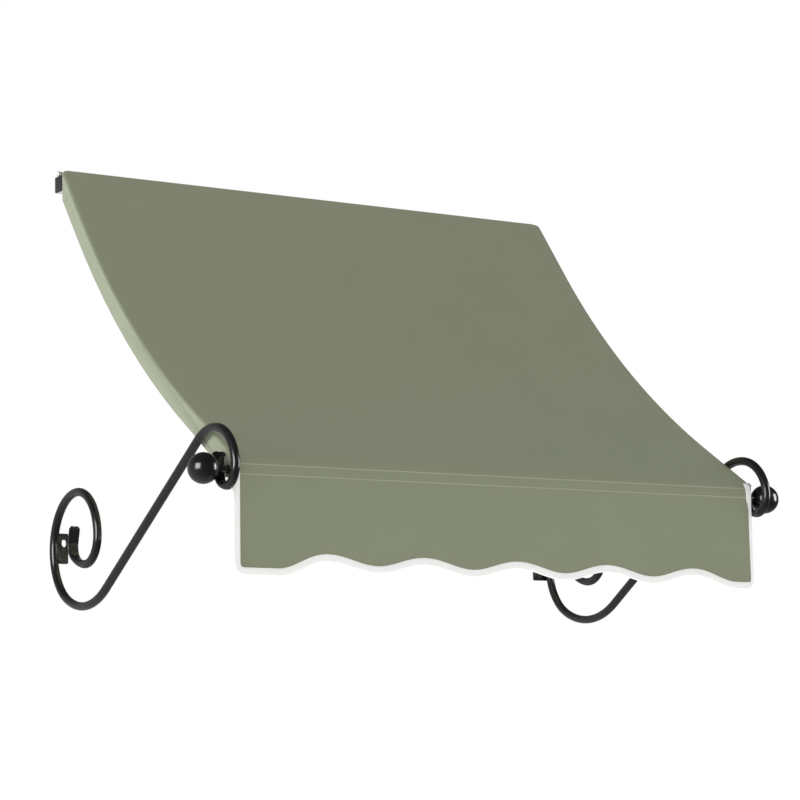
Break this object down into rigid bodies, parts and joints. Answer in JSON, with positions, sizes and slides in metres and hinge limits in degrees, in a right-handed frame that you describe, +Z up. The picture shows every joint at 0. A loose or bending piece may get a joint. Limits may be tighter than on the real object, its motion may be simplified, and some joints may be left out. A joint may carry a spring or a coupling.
{
  "type": "window awning",
  "caption": "Small wall awning: a curved fabric canopy with a hanging scalloped front and bound hem, held out by scrolled rod arms that end in balls.",
  "frame": {"origin": "centre of the head rail's back face, on the wall", "axes": "+X along the wall, to the right of someone facing the awning; +Y into the wall; +Z up"},
  "size_m": [1.1666, 0.6865, 0.7951],
  "materials": {
    "aluminium": "mill-finish extrusion",
    "black_enamel": "semi-gloss black enamel on steel",
    "black_plastic": "fine-grained black plastic",
    "zinc_steel": "zinc-plated steel",
    "sage_canvas": "matt woven canvas, sage green",
    "white_binding": "woven off-white tape",
    "white_rope": "braided white cord"
  },
  "bodies": {
    "root": {"head_rail": "aluminium", "rail_cap_left": "black_plastic", "rail_cap_right": "black_plastic", "keder_rope": "white_rope", "canopy": "sage_canvas", "side_band_left": "sage_canvas", "side_band_right": "sage_canvas", "bar_pocket": "sage_canvas", "hem_binding": "white_binding", "side_rib_left": "aluminium", "side_rib_right": "aluminium", "rib_screw_left": "zinc_steel", "rib_screw_right": "zinc_steel", "front_bar": "aluminium", "bar_plug_left": "black_plastic", "bar_plug_right": "black_plastic", "finial_stud_left": "zinc_steel", "finial_stud_right": "zinc_steel", "arm_bush_left": "black_enamel", "arm_bush_right": "black_enamel", "ball_washer_left": "black_enamel", "ball_washer_right": "black_enamel", "ball_finial_left": "black_enamel", "ball_finial_right": "black_enamel", "scroll_arm_left": "black_enamel", "scroll_arm_right": "black_enamel", "wall_plate_left": "black_enamel", "wall_plate_right": "black_enamel"}
  },
  "joints": []
}
